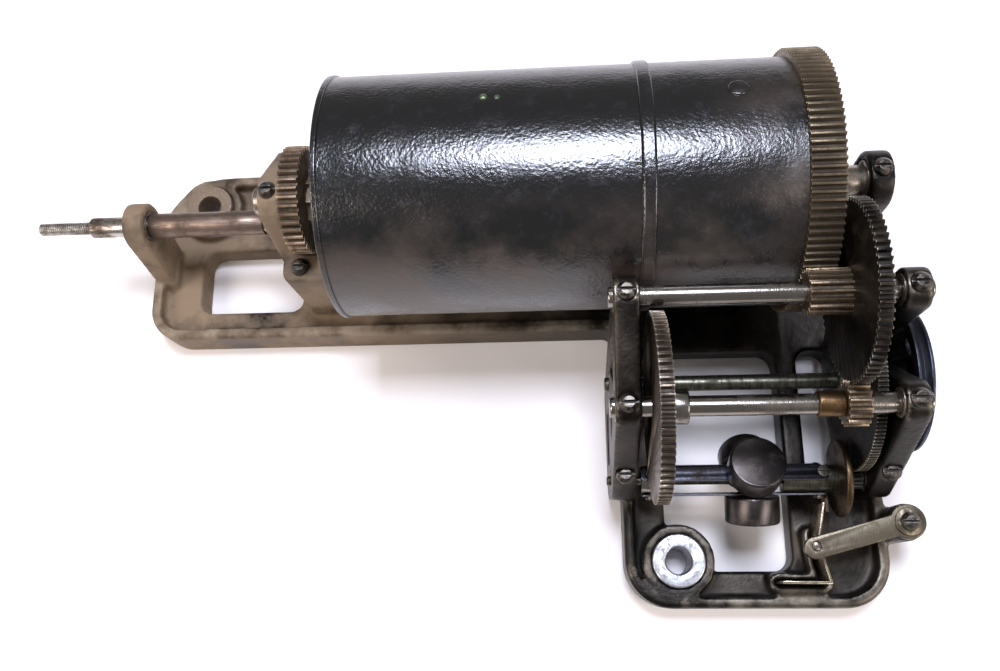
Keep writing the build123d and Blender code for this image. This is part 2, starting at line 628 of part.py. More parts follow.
with BuildPart() as barrel_short_shell:
    turned(SHORT_X, RING_X, BARREL_RADIUS, BARREL)
    turned(SHORT_X, RING_X, SHELL_INNER_RADIUS, BARREL, Mode.SUBTRACT)
finish(barrel_short_shell, "barrel_short_shell")

RING_PHASE = 0.0
PINION_A_PHASE = partner_phase(RING_PHASE, RING_TEETH, PINION_A_TEETH, BARREL_TO_A)
GEAR_A_PHASE = 0.0
PINION_B_PHASE = partner_phase(GEAR_A_PHASE, GEAR_A_TEETH, PINION_B_TEETH, A_TO_B)
GEAR_B_PHASE = 0.0
PINION_C_PHASE = partner_phase(GEAR_B_PHASE, GEAR_B_TEETH, PINION_C_TEETH, B_TO_C)
GEAR_C_PHASE = 0.0
GOVERNOR_PHASE = partner_phase(GEAR_C_PHASE, GEAR_C_TEETH, GOVERNOR_TEETH, C_TO_GOVERNOR)
WINDING_PHASE = partner_phase(0.0, WINDING_GEAR_TEETH, WINDING_PINION_TEETH, ARBOR_TO_WINDING)

with BuildPart() as ring_gear:
    gear_solid(RING_X, RING_WIDTH, BARREL, RING_TEETH, GEAR_MODULE, RING_PHASE, BORE_ON_ARBOR)
    turned(RING_X, RING_END_X - END_PLATE, SHELL_INNER_RADIUS - SPIGOT_LENGTH, BARREL, Mode.SUBTRACT)
    turned(RING_X - SPIGOT_LENGTH, RING_X, SHELL_INNER_RADIUS, BARREL)
    turned(RING_X - SPIGOT_LENGTH, RING_X, SHELL_INNER_RADIUS - SPIGOT_LENGTH, BARREL, Mode.SUBTRACT)
    turned(RING_END_X - END_PLATE - 3.0, RING_END_X + 1.0, HUB_ON_ARBOR, BARREL)
    turned(RING_END_X - END_PLATE - 3.0, RING_END_X + 1.0, BORE_ON_ARBOR, BARREL, Mode.SUBTRACT)
finish(ring_gear, "ring_gear")


def spiral_strip(turns, pitch, thickness, outer_radius):
    """Flat spiral of half rings, each a quarter pitch larger about alternate centres."""
    with BuildSketch() as spiral:
        for half_turn in range(2 * turns):
            radius = outer_radius - thickness / 2 - pitch / 2 * (2 * turns - 1 - half_turn)
            centre = pitch / 2 * (half_turn % 2)
            side = -90 if half_turn % 2 else 90
            outer, inner = radius + thickness / 2, radius - thickness / 2
            with BuildLine():
                upper = CenterArc((0, centre), outer, side, 180)
                lower = CenterArc((0, centre), inner, side, 180)
                Line(upper @ 0, lower @ 0)
                Line(upper @ 1, lower @ 1)
            make_face()
    return spiral.sketch


CHAMBER_X = BARREL_X + CAP_THICKNESS + SPIGOT_LENGTH + 3.0
COIL_RADIUS = SHELL_INNER_RADIUS - SPRING_PITCH / 2 - SPRING_CLEARANCE
LONG_CHAMBER = SEAM_X - CHAMBER_X - SPRING_END_GAP
SPRING_SPANS = {
    "mainspring_1": (CHAMBER_X, LONG_CHAMBER / 2 - SPRING_END_GAP),
    "mainspring_2": (CHAMBER_X + LONG_CHAMBER / 2, LONG_CHAMBER / 2 - SPRING_END_GAP),
    "mainspring_3": (SHORT_X + SPRING_END_GAP, RING_X - SHORT_X - SPIGOT_LENGTH - 3 * SPRING_END_GAP),
}
for spring_name, (start_x, strip_width) in SPRING_SPANS.items():
    with BuildPart() as mainspring:
        with BuildSketch(placed_profile(start_x, BARREL)):
            add(spiral_strip(SPRING_TURNS, SPRING_PITCH, SPRING_STRIP, COIL_RADIUS))
        extrude(amount=strip_width)
    finish(mainspring, spring_name)

# ---- winding side ----

with BuildPart() as arbor:
    turned(BRACKET_X - 3.0, RIGHT_WALL_END_X + 1.0, ARBOR_RADIUS, BARREL)
    chamfer(arbor.edges().filter_by(GeomType.CIRCLE), length=0.6)
finish(arbor, "arbor")

with BuildPart() as winding_gear:
    gear_solid(
        WINDING_GEAR_X, WINDING_GEAR_WIDTH, BARREL, WINDING_GEAR_TEETH, WINDING_MODULE, 0.0, ARBOR_RADIUS
    )
finish(winding_gear, "winding_gear")

with BuildPart() as ratchet_wheel:
    with BuildSketch(placed_profile(RATCHET_X, BARREL)):
        with BuildLine():
            corners = []
            for tooth in range(RATCHET_TEETH):
                start, end = 360 * tooth / RATCHET_TEETH, 360 * (tooth + 0.94) / RATCHET_TEETH
                corners.append(polar((0, 0), RATCHET_RADIUS - RATCHET_DEPTH, start))
                corners.append(polar((0, 0), RATCHET_RADIUS, end))
            Polyline(*corners, close=True)
        make_face()
        Circle(ARBOR_RADIUS, mode=Mode.SUBTRACT)
    extrude(amount=RATCHET_WIDTH)
finish(ratchet_wheel, "ratchet_wheel")

with BuildPart() as click_stud:
    turned(BRACKET_X, RATCHET_X + RATCHET_WIDTH + 1.2, CLICK_STUD_RADIUS, CLICK_STUD)
    turned(RATCHET_X + RATCHET_WIDTH + 0.2, RATCHET_X + RATCHET_WIDTH + 1.2, CLICK_STUD_RADIUS + 1.4, CLICK_STUD)
finish(click_stud, "click_stud")

CLICK_TIP = polar(BARREL, RATCHET_RADIUS + CLICK_TIP_RADIUS + 0.2, 0.0)
with BuildPart() as click:
    with BuildSketch(Plane.YZ.offset(RATCHET_X + 0.2)):
        add(strut(CLICK_STUD, CLICK_TIP, CLICK_STUD_RADIUS + 2.0, CLICK_TIP_RADIUS))
    extrude(amount=RATCHET_WIDTH - 0.2)
    turned(
        RATCHET_X, RATCHET_X + RATCHET_WIDTH, CLICK_STUD_RADIUS + RUNNING_CLEARANCE, CLICK_STUD, Mode.SUBTRACT
    )
finish(click, "click")

WINDING_END_X = WINDING_GEAR_X + WINDING_GEAR_WIDTH + 1.0
SLEEVE_START_X = EYE_X + EYE_THICKNESS + 0.4
with BuildPart() as winding_shaft:
    turned(SHAFT_START_X, SHAFT_START_X + THREAD_LENGTH, THREAD_RADIUS, WINDING)
    turned(SHAFT_START_X + THREAD_LENGTH, WINDING_END_X, WINDING_SHAFT_RADIUS, WINDING)
    chamfer(winding_shaft.edges().filter_by(GeomType.CIRCLE).group_by(Axis.X)[0], length=0.8)
finish(winding_shaft, "winding_shaft")

with BuildPart() as winding_sleeve:
    turned(SLEEVE_START_X, SLEEVE_START_X + SLEEVE_LENGTH, SLEEVE_RADIUS, WINDING)
    turned(SLEEVE_START_X, SLEEVE_START_X + SLEEVE_LENGTH, WINDING_SHAFT_RADIUS, WINDING, Mode.SUBTRACT)
finish(winding_sleeve, "winding_sleeve")

with BuildPart() as winding_pinion:
    gear_solid(
        WINDING_GEAR_X,
        WINDING_GEAR_WIDTH,
        WINDING,
        WINDING_PINION_TEETH,
        WINDING_MODULE,
        WINDING_PHASE,
        WINDING_SHAFT_RADIUS,
    )
finish(winding_pinion, "winding_pinion")

# ---- gear train ----

TRAIN_START_X = LEFT_WALL_X - 1.5
TRAIN_END_X = RIGHT_WALL_END_X + 1.5
for shaft_name, centre, radius, end_x in (
    ("shaft_a", SHAFT_A, SHAFT_RADIUS, TRAIN_END_X),
    ("shaft_b", SHAFT_B, SHAFT_RADIUS, TRAIN_END_X),
    ("shaft_c", SHAFT_C, SHAFT_C_RADIUS, PULLEY_X + PULLEY_WIDTH + 1.5),
    ("governor_shaft", GOVERNOR, GOVERNOR_SHAFT_RADIUS, TRAIN_END_X),
):
    with BuildPart() as shaft:
        turned(TRAIN_START_X, end_x, radius, centre)
        chamfer(shaft.edges().filter_by(GeomType.CIRCLE), length=0.4)
    finish(shaft, shaft_name)

GEAR_NODES = (
    ("pinion_a", PINION_A_X, GEAR_A_X - PINION_A_X, SHAFT_A, PINION_A_TEETH, GEAR_MODULE, PINION_A_PHASE),
    ("gear_a", GEAR_A_X, GEAR_WIDTH, SHAFT_A, GEAR_A_TEETH, GEAR_MODULE, GEAR_A_PHASE),
    ("pinion_b", PINION_B_X, PINION_B_WIDTH, SHAFT_B, PINION_B_TEETH, GEAR_MODULE, PINION_B_PHASE),
    ("gear_b", GEAR_B_X, GEAR_WIDTH, SHAFT_B, GEAR_B_TEETH, GEAR_MODULE, GEAR_B_PHASE),
    ("pinion_c", GEAR_B_X - 1.0, PINION_C_WIDTH, SHAFT_C, PINION_C_TEETH, GEAR_MODULE, PINION_C_PHASE),
    ("gear_c", GEAR_C_X, FINE_WIDTH, SHAFT_C, GEAR_C_TEETH, FINE_MODULE, GEAR_C_PHASE),
    ("governor_pinion", GEAR_C_X - 0.6, FINE_WIDTH + 1.4, GOVERNOR, GOVERNOR_TEETH, FINE_MODULE, GOVERNOR_PHASE),
)
BORES = {SHAFT_A: SHAFT_RADIUS, SHAFT_B: SHAFT_RADIUS, SHAFT_C: SHAFT_C_RADIUS, GOVERNOR: GOVERNOR_SHAFT_RADIUS}
for gear_name, start_x, width, centre, teeth, module, phase in GEAR_NODES:
    with BuildPart() as gear:
        gear_solid(start_x, width, centre, teeth, module, phase, BORES[centre])
    finish(gear, gear_name)

COLLARS = (
    ("gear_b_hub", GEAR_B_X + GEAR_WIDTH, GEAR_B_HUB_LENGTH, 5.5, SHAFT_B),
    ("pinion_b_collar", PINION_B_X - 8.0, 8.0, 3.9, SHAFT_B),
    ("pinion_c_collar", GEAR_B_X + PINION_C_WIDTH - 1.0, 4.0, 4.1, SHAFT_C),
    ("gear_c_hub", GEAR_C_X - 4.0, 4.0, 5.0, SHAFT_C),
)
for collar_name, start_x, length, radius, centre in COLLARS:
    with BuildPart() as collar:
        turned(start_x, start_x + length, radius, centre)
        chamfer(collar.edges().filter_by(GeomType.CIRCLE), length=0.35)
        turned(start_x, start_x + length, BORES[centre], centre, Mode.SUBTRACT)
    finish(collar, collar_name)

with BuildPart() as belt_pulley:
    with BuildSketch(Plane(origin=(0, *SHAFT_C), x_dir=(1, 0, 0), z_dir=(0, 0, 1))):
        with BuildLine():
            rim_x, end_x = PULLEY_X, PULLEY_X + PULLEY_WIDTH
            groove_radius = PULLEY_RADIUS - GROOVE_DEPTH
            dish_radius = PULLEY_RADIUS - 4.0
            Polyline(
                (rim_x, SHAFT_C_RADIUS),
                (rim_x, 6.0),
                (end_x - 2.2, 8.0),
                (rim_x + 1.2, dish_radius),
                (rim_x, dish_radius),
                (rim_x, PULLEY_RADIUS),
                (rim_x + 0.9, PULLEY_RADIUS),
                ((rim_x + end_x) / 2, groove_radius),
                (end_x - 0.9, PULLEY_RADIUS),
                (end_x, PULLEY_RADIUS),
                (end_x, dish_radius),
                (rim_x + 3.0, dish_radius),
                (end_x, 8.0),
                (end_x, SHAFT_C_RADIUS),
                close=True,
            )
        make_face()
    revolve(axis=Axis((0, *SHAFT_C), (1, 0, 0)))
    hole_centre = polar(SHAFT_C, PULLEY_HOLE_RING, PULLEY_HOLE_ANGLE)
    turned(PULLEY_X, PULLEY_X + PULLEY_WIDTH, PULLEY_HOLE_RADIUS, hole_centre, Mode.SUBTRACT)
finish(belt_pulley, "belt_pulley")

# ---- governor ----


def leaf_frame(angle, x):
    """Plane on a leaf spring: its origin is on the governor axis and its normal points outwards."""
    return Plane(
        origin=(x, *GOVERNOR), x_dir=(1, 0, 0), z_dir=(0, cos(radians(angle)), sin(radians(angle)))
    )


HUB_SCREW_X = LEAF_X + HUB_LENGTH / 2
SLEEVE_SCREW_X = SLEEVE_X + GOVERNOR_SLEEVE_LENGTH - 5.2
LEAF_TOP = HUB_RADIUS + LEAF_THICKNESS
LEAF_SCREW_RADIUS = 0.8

with BuildPart() as governor_hub:
    turned(LEAF_X, LEAF_X + HUB_LENGTH, HUB_RADIUS, GOVERNOR)
    turned(LEAF_X, LEAF_X + HUB_LENGTH, GOVERNOR_SHAFT_RADIUS, GOVERNOR, Mode.SUBTRACT)
    for angle in LEAF_ANGLES:
        with BuildSketch(leaf_frame(angle, HUB_SCREW_X)):
            Circle(LEAF_SCREW_RADIUS)
        extrude(amount=HUB_RADIUS + 1, mode=Mode.SUBTRACT)
finish(governor_hub, "governor_hub")

with BuildPart() as governor_leaf_springs:
    for angle in LEAF_ANGLES:
        leaf_plane = leaf_frame(angle, LEAF_X).offset(HUB_RADIUS)
        with BuildSketch(leaf_plane):
            with Locations((LEAF_LENGTH / 2, 0)):
                RectangleRounded(LEAF_LENGTH, LEAF_WIDTH, 1.5)
            with Locations((HUB_SCREW_X - LEAF_X, 0)):
                Circle(LEAF_SCREW_RADIUS, mode=Mode.SUBTRACT)
            with Locations((SLEEVE_SCREW_X - LEAF_X - SLEEVE_TRAVEL / 2, 0)):
                SlotOverall(
                    2 * (LEAF_SCREW_RADIUS + SLEEVE_GAP) + SLEEVE_TRAVEL,
                    2 * (LEAF_SCREW_RADIUS + SLEEVE_GAP),
                    mode=Mode.SUBTRACT,
                )
        extrude(amount=LEAF_THICKNESS)
finish(governor_leaf_springs, "governor_leaf_springs")


def leaf_screw(angle, x, seat):
    """Small round-headed screw that holds the end of a leaf spring."""
    with BuildSketch(leaf_frame(angle, x).offset(GOVERNOR_SHAFT_RADIUS + 1.0)) as shank:
        Circle(LEAF_SCREW_RADIUS)
    extrude(shank.sketch, amount=seat - GOVERNOR_SHAFT_RADIUS - 1.0)
    with BuildSketch(leaf_frame(angle, x).offset(seat)) as head:
        Circle(SMALL_HEAD_RADIUS)
    extrude(head.sketch, amount=SMALL_HEAD_HEIGHT)
    with BuildSketch(leaf_frame(angle, x).offset(seat + SMALL_HEAD_HEIGHT / 2)) as slot:
        Rectangle(2 * SMALL_HEAD_RADIUS, SLOT_WIDTH / 2)
    extrude(slot.sketch, amount=SMALL_HEAD_HEIGHT, mode=Mode.SUBTRACT)


with BuildPart() as governor_hub_screws:
    for angle in LEAF_ANGLES:
        leaf_screw(angle, HUB_SCREW_X, LEAF_TOP)
finish(governor_hub_screws, "governor_hub_screws")

for number, angle in enumerate(LEAF_ANGLES, 1):
    with BuildPart() as flyweight:
        with BuildSketch(leaf_frame(angle, WEIGHT_X).offset(LEAF_TOP + WEIGHT_GAP)):
            Circle(WEIGHT_RADIUS)
        extrude(amount=WEIGHT_THICKNESS)
        chamfer(flyweight.edges().filter_by(GeomType.CIRCLE), length=0.5)
    finish(flyweight, f"flyweight_{number}")

with BuildPart() as governor_sleeve:
    turned(SLEEVE_X, DISC_X, HUB_RADIUS - SLEEVE_GAP, GOVERNOR)
    turned(SLEEVE_X, DISC_X, GOVERNOR_SHAFT_RADIUS + RUNNING_CLEARANCE, GOVERNOR, Mode.SUBTRACT)
    for angle in LEAF_ANGLES:
        with BuildSketch(leaf_frame(angle, SLEEVE_SCREW_X)):
            Circle(LEAF_SCREW_RADIUS)
        extrude(amount=HUB_RADIUS, mode=Mode.SUBTRACT)
finish(governor_sleeve, "governor_sleeve")

with BuildPart() as governor_sleeve_screws:
    for angle in LEAF_ANGLES:
        leaf_screw(angle, SLEEVE_SCREW_X, LEAF_TOP + SLEEVE_GAP)
finish(governor_sleeve_screws, "governor_sleeve_screws")

with BuildPart() as friction_disc:
    turned(DISC_X, DISC_X + DISC_THICKNESS, DISC_RADIUS, GOVERNOR)
    chamfer(friction_disc.edges().filter_by(GeomType.CIRCLE), length=0.4)
    turned(
        DISC_X, DISC_X + DISC_THICKNESS, GOVERNOR_SHAFT_RADIUS + RUNNING_CLEARANCE, GOVERNOR, Mode.SUBTRACT
    )
finish(friction_disc, "friction_disc")

# ---- speed lever and brake ----

LEVER_TOP_Z = LEVER_Z + LEVER_THICKNESS / 2
LEVER_PIN = (LEVER_TIP[0] + LEVER_PIN_INSET, LEVER_TIP[1] + LEVER_PIN_INSET)
WASHER_Z = LEVER_TOP_Z + WASHER_GAP

with BuildPart() as speed_lever:
    with BuildSketch(Plane.XY.offset(LEVER_POST_TOP)):
        add(strut(LEVER_PIVOT, LEVER_TIP, LEVER_WIDTH / 2, LEVER_WIDTH / 2))
        with Locations(LEVER_PIVOT):
            Circle(LEVER_EYE_RADIUS)
            Circle(LEVER_SCREW_RADIUS + RUNNING_CLEARANCE, mode=Mode.SUBTRACT)
        with Locations(LEVER_PIN):
            Circle(LEVER_PIN_RADIUS, mode=Mode.SUBTRACT)
    extrude(amount=LEVER_THICKNESS)
    chamfer(speed_lever.edges().group_by(Axis.Z)[-1], length=0.25)
finish(speed_lever, "speed_lever")

with BuildPart() as lever_pin:
    upright(*LEVER_PIN, LEVER_TOP_Z - LEVER_PIN_LENGTH, LEVER_TOP_Z - 0.25, LEVER_PIN_RADIUS)
finish(lever_pin, "lever_pin")

with BuildPart() as lever_washer:
    upright(*LEVER_PIVOT, WASHER_Z, WASHER_Z + WASHER_THICKNESS, LEVER_EYE_RADIUS - 1.2)
    upright(*LEVER_PIVOT, LEVER_TOP_Z, LEVER_TOP_Z + 1 + WASHER_THICKNESS, LEVER_SCREW_RADIUS, Mode.SUBTRACT)
finish(lever_washer, "lever_washer")

with BuildPart() as lever_screw:
    upright(*LEVER_PIVOT, WEB_Z, WASHER_Z + WASHER_THICKNESS, LEVER_SCREW_RADIUS)
    slotted_head(*LEVER_PIVOT, WASHER_Z + WASHER_THICKNESS)
finish(lever_screw, "lever_screw")

with BuildPart() as brake_spring:
    with BuildSketch(Plane.XY.offset(BRAKE_BOTTOM_Z)):
        for start, end in zip(BRAKE_PATH, BRAKE_PATH[1:]):
            add(strut(start, end, BRAKE_STRIP / 2, BRAKE_STRIP / 2))
    extrude(amount=BRAKE_TOP_Z - BRAKE_BOTTOM_Z)
finish(brake_spring, "brake_spring")

with BuildPart() as brake_pad:
    with Locations((BRAKE_TIP_X + BRAKE_STRIP / 2, BRAKE_TIP_Y, BRAKE_TOP_Z)):
        Box(PAD_THICKNESS, PAD_WIDTH, PAD_HEIGHT, align=(Align.MIN, Align.CENTER, Align.MAX))
finish(brake_pad, "brake_pad")
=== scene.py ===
"""Looks of the spring motor of a cylinder talking machine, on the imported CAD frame."""

import json
import math

import bmesh
import bpy
from mathutils import Matrix, Vector

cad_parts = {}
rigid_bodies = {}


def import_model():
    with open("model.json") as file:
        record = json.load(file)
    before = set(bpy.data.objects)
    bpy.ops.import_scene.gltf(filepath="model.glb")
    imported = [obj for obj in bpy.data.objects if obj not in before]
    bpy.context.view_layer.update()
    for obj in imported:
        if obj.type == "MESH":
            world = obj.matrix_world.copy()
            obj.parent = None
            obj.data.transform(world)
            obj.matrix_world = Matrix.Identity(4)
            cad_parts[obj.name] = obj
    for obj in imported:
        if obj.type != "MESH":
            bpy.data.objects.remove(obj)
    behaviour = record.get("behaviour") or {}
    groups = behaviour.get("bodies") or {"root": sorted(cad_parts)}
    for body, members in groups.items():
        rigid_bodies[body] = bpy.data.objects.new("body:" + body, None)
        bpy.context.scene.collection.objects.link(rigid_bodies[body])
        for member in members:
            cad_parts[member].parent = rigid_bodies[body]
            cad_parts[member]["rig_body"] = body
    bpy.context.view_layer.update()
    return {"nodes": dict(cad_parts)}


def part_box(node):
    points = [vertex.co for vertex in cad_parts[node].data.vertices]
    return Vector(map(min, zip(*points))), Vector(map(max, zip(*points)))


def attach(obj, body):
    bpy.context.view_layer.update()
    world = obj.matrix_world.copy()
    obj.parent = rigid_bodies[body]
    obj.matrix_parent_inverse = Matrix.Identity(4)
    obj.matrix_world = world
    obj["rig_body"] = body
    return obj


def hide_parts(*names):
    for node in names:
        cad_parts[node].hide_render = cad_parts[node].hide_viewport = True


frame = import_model()
nodes = frame["nodes"]

# ---- Camera ----
# A hand-held camera a third of a metre above the motor, leaning a little towards its front.
# Its lens is that of a 36 mm wide sensor at 32 mm.

camera_data = bpy.data.cameras.new("camera")
camera_data.sensor_width = 36.0
camera_data.lens = 32.24
camera_data.clip_start = 0.01
camera_data.clip_end = 10.0
camera = bpy.data.objects.new("camera", camera_data)
camera.matrix_world = (
    Matrix.Translation((-0.0372, -0.0105, 0.3407))
    @ Matrix.Rotation(0.076, 4, "Y")
    @ Matrix.Rotation(0.28, 4, "X")
    @ Matrix.Rotation(-0.0036, 4, "Z")
)
bpy.context.scene.collection.objects.link(camera)
bpy.context.scene.camera = camera

# ---- Floor and light ----
# The motor lies on a white painted board. A square lamp hangs over its back edge, a second one
# lights it from the winding end, and the rest of the room is dim, so that black japan stays black.

MM = 0.001
FLOOR_SIDE = 6.0


def linear(code):
    """An sRGB hex colour as linear red, green, blue and alpha."""
    parts = [int(code[i : i + 2], 16) / 255 for i in (1, 3, 5)]
    return [p / 12.92 if p <= 0.04045 else ((p + 0.055) / 1.055) ** 2.4 for p in parts] + [1.0]


def add_node(tree, kind, inputs=None, stops=(), **settings):
    """Adds one node. An input is a value or the output that feeds it, and stops are a ramp's."""
    node = tree.nodes.new(kind)
    for name, value in settings.items():
        setattr(node, name, value)
    for name, value in (inputs or {}).items():
        if isinstance(value, bpy.types.NodeSocket):
            tree.links.new(value, node.inputs[name])
        else:
            node.inputs[name].default_value = value
    for index, (place, colour) in enumerate(stops):
        marks = node.color_ramp.elements
        element = marks[index] if index < 2 else marks.new(place)
        element.position = place
        element.color = colour
    return node


def link_piece(name, mesh, material):
    """A new object at the origin that shows the mesh in one material."""
    piece = bpy.data.objects.new(name, mesh)
    bpy.context.scene.collection.objects.link(piece)
    mesh.materials.clear()
    mesh.materials.append(material)
    return piece


def mesh_of(work, name):
    """The mesh of a finished bmesh, shaded smooth."""
    mesh = bpy.data.meshes.new(name)
    work.to_mesh(mesh)
    work.free()
    mesh.shade_smooth()
    return mesh


board_paint = bpy.data.materials.new("matt_white_paint")
board_paint.use_nodes = True
shader = board_paint.node_tree.nodes["Principled BSDF"]
shader.inputs["Base Color"].default_value = linear("#f7f3f2")
shader.inputs["Roughness"].default_value = 0.85
board = bmesh.new()
bmesh.ops.create_grid(board, x_segments=1, y_segments=1, size=FLOOR_SIDE / 2)
link_piece("floor_board", mesh_of(board, "floor_board"), board_paint)

for name, place, aim, side, power, colour in (
    ("lamp_over_back", (-0.02, 0.28, 0.95), (-0.03, 0.08, 0.05), 0.26, 10.0, "#e6ecff"),
    ("lamp_at_winding_end", (-0.75, -0.25, 0.75), (0.0, 0.05, 0.03), 0.5, 6.0, "#fff4ee"),
    ("lamp_at_pulley_end", (0.8, -0.35, 0.7), (0.0, 0.05, 0.03), 0.5, 6.0, "#fff6f2"),
):
    lamp_data = bpy.data.lights.new(name, "AREA")
    lamp_data.size = side
    lamp_data.energy = power
    lamp_data.color = linear(colour)[:3]
    lamp = bpy.data.objects.new(name, lamp_data)
    lamp.location = place
    lamp.rotation_euler = (Vector(aim) - Vector(place)).to_track_quat("-Z", "Y").to_euler()
    bpy.context.scene.collection.objects.link(lamp)
room = bpy.data.worlds.new("dim_room")
room.use_nodes = True
room.node_tree.nodes["Background"].inputs["Color"].default_value = linear("#f6f2f1")
room.node_tree.nodes["Background"].inputs["Strength"].default_value = 0.30
bpy.context.scene.world = room
bpy.context.scene.view_settings.view_transform = "Standard"

# ---- Frame ----
# One L-shaped grey iron casting with a raised rim, two walls, a bracket, a pillar and an eye.
# Sand-cast, so every corner is soft and the skin is pebbled. Oil has browned it, painted shade
# darkens its hollows, dust lies on its winding end, and hands have rubbed the rim bright.

CAST_VOXEL = 0.85 * MM
CAST_SMOOTHING = 5


def finish_tree(material):
    """The node tree, shader and object coordinates of a new node material."""
    material.use_nodes = True
    tree = material.node_tree
    where = add_node(tree, "ShaderNodeTexCoord").outputs["Object"]
    return tree, tree.nodes["Principled BSDF"], where


def share_of(tree, value, low, high):
    """A share from 0 at low to 1 at high."""
    return add_node(
        tree, "ShaderNodeMapRange", {"Value": value, "From Min": low, "From Max": high}
    ).outputs["Result"]


def cleaned_copy(node):
    """A bmesh of a CAD node with its loose triangles joined and its flats made whole."""
    work = bmesh.new()
    work.from_mesh(nodes[node].data)
    bmesh.ops.remove_doubles(work, verts=work.verts, dist=0.002 * MM)
    bmesh.ops.dissolve_limit(
        work, angle_limit=math.radians(0.5), verts=work.verts, edges=work.edges
    )
    return work


cast_iron = bpy.data.materials.new("oily_sand_cast_iron")
tree, shader, where = finish_tree(cast_iron)
across = add_node(tree, "ShaderNodeSeparateXYZ", {"Vector": where})
patches = add_node(
    tree, "ShaderNodeTexNoise",
    {"Vector": where, "Scale": 1 / (22 * MM), "Detail": 7.0, "Roughness": 0.62},
)
sand = add_node(
    tree, "ShaderNodeTexNoise",
    {"Vector": where, "Scale": 1 / (2.2 * MM), "Detail": 4.0, "Roughness": 0.6},
)
grit = add_node(
    tree, "ShaderNodeTexNoise",
    {"Vector": where, "Scale": 1 / (0.7 * MM), "Detail": 3.0, "Roughness": 0.6},
)
iron = add_node(
    tree, "ShaderNodeValToRGB", {"Fac": patches.outputs["Fac"]},
    stops=((0.30, linear("#1a1918")), (0.48, linear("#2e2b28")), (0.68, linear("#4b4640"))),
)
# Painted shade: where ambient occlusion finds hollows, the iron turns dark brown, together with oil
# grime.
hollow = add_node(
    tree, "ShaderNodeAmbientOcclusion", {"Distance": 7 * MM}, only_local=True, samples=8
)
grime_and_shade_share = share_of(tree, hollow.outputs["AO"], 0.80, 0.35)
grimed_and_shaded = add_node(
    tree, "ShaderNodeMix",
    {0: grime_and_shade_share, 6: iron.outputs["Color"], 7: linear("#1b1713")}, data_type="RGBA",
)
end_share = share_of(tree, across.outputs["X"], -15 * MM, -120 * MM)
dust_share = add_node(
    tree, "ShaderNodeMath",
    {0: end_share, 1: share_of(tree, patches.outputs["Fac"], 0.30, 0.56)}, operation="MULTIPLY",
)
dusted = add_node(
    tree, "ShaderNodeMix",
    {0: dust_share.outputs["Value"], 6: grimed_and_shaded.outputs[2], 7: linear("#83705a")}, data_type="RGBA",
)
corner = add_node(
    tree, "ShaderNodeAmbientOcclusion",
    {"Distance": 2.2 * MM}, inside=True, only_local=True, samples=8,
)
rubbed = add_node(
    tree, "ShaderNodeMath",
    {
        0: share_of(tree, corner.outputs["AO"], 0.62, 0.30),
        1: share_of(tree, sand.outputs["Fac"], 0.38, 0.58),
    },
    operation="MULTIPLY",
)
rim_low = share_of(tree, across.outputs["Z"], 14.5 * MM, 16.6 * MM)
rim_high = share_of(tree, across.outputs["Z"], 19.0 * MM, 17.8 * MM)
rim = add_node(tree, "ShaderNodeMath", {0: rim_low, 1: rim_high}, operation="MULTIPLY")
rim_polish = add_node(
    tree, "ShaderNodeMath",
    {0: rim.outputs["Value"], 1: share_of(tree, patches.outputs["Fac"], 0.46, 0.80)},
    operation="MULTIPLY",
)
handled = add_node(
    tree, "ShaderNodeMath",
    {0: rubbed.outputs["Value"], 1: rim_polish.outputs["Value"]}, operation="MAXIMUM",
)
worn = add_node(
    tree, "ShaderNodeMix",
    {0: handled.outputs["Value"], 6: dusted.outputs[2], 7: linear("#a09889")}, data_type="RGBA",
)
tree.links.new(worn.outputs[2], shader.inputs["Base Color"])
dull = add_node(
    tree, "ShaderNodeMath", {0: dust_share.outputs["Value"], 1: grime_and_shade_share}, operation="MAXIMUM"
)
tree.links.new(share_of(tree, dull.outputs["Value"], 1.25, 0.0), shader.inputs["Metallic"])
shine = add_node(
    tree, "ShaderNodeMath", {0: dull.outputs["Value"], 1: patches.outputs["Fac"]}, operation="ADD"
)
rough = add_node(
    tree, "ShaderNodeMapRange",
    {
        "Value": shine.outputs["Value"], "From Min": 0.3, "From Max": 1.4,
        "To Min": 0.34, "To Max": 0.78,
    },
)
tree.links.new(rough.outputs["Result"], shader.inputs["Roughness"])
pebbles = add_node(
    tree, "ShaderNodeBump", {"Height": sand.outputs["Fac"], "Strength": 0.5, "Distance": 0.35 * MM}
)
skin = add_node(
    tree, "ShaderNodeBump",
    {
        "Height": grit.outputs["Fac"], "Normal": pebbles.outputs["Normal"],
        "Strength": 0.35, "Distance": 0.12 * MM,
    },
)
tree.links.new(skin.outputs["Normal"], shader.inputs["Normal"])

FRAME_BLOCKS = sorted(name for name in nodes if name.startswith("frame_"))
casting = bmesh.new()
for block in FRAME_BLOCKS:
    casting.from_mesh(nodes[block].data)
bmesh.ops.remove_doubles(casting, verts=casting.verts, dist=0.002 * MM)
mould = link_piece("casting_rough", mesh_of(casting, "casting_rough"), cast_iron)
remesh = mould.modifiers.new("moulded", "REMESH")
remesh.mode = "VOXEL"
remesh.voxel_size = CAST_VOXEL
soften = mould.modifiers.new("soft_corners", "SMOOTH")
soften.factor = 0.5
soften.iterations = CAST_SMOOTHING
soft_mesh = bpy.data.meshes.new_from_object(
    mould.evaluated_get(bpy.context.evaluated_depsgraph_get())
)
bpy.data.objects.remove(mould)
soft_mesh.name = "frame_casting"
soft_mesh.shade_smooth()
frame_casting = link_piece("frame_casting", soft_mesh, cast_iron)
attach(frame_casting, "frame")
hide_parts(*FRAME_BLOCKS)

# ---- Mounting and bearing bushes ----
# Three cast zinc bushings fill the mounting bosses, and turned bushes line the bearing walls.
# The bushings are bare and pale; the small bushes have dried oil round them.


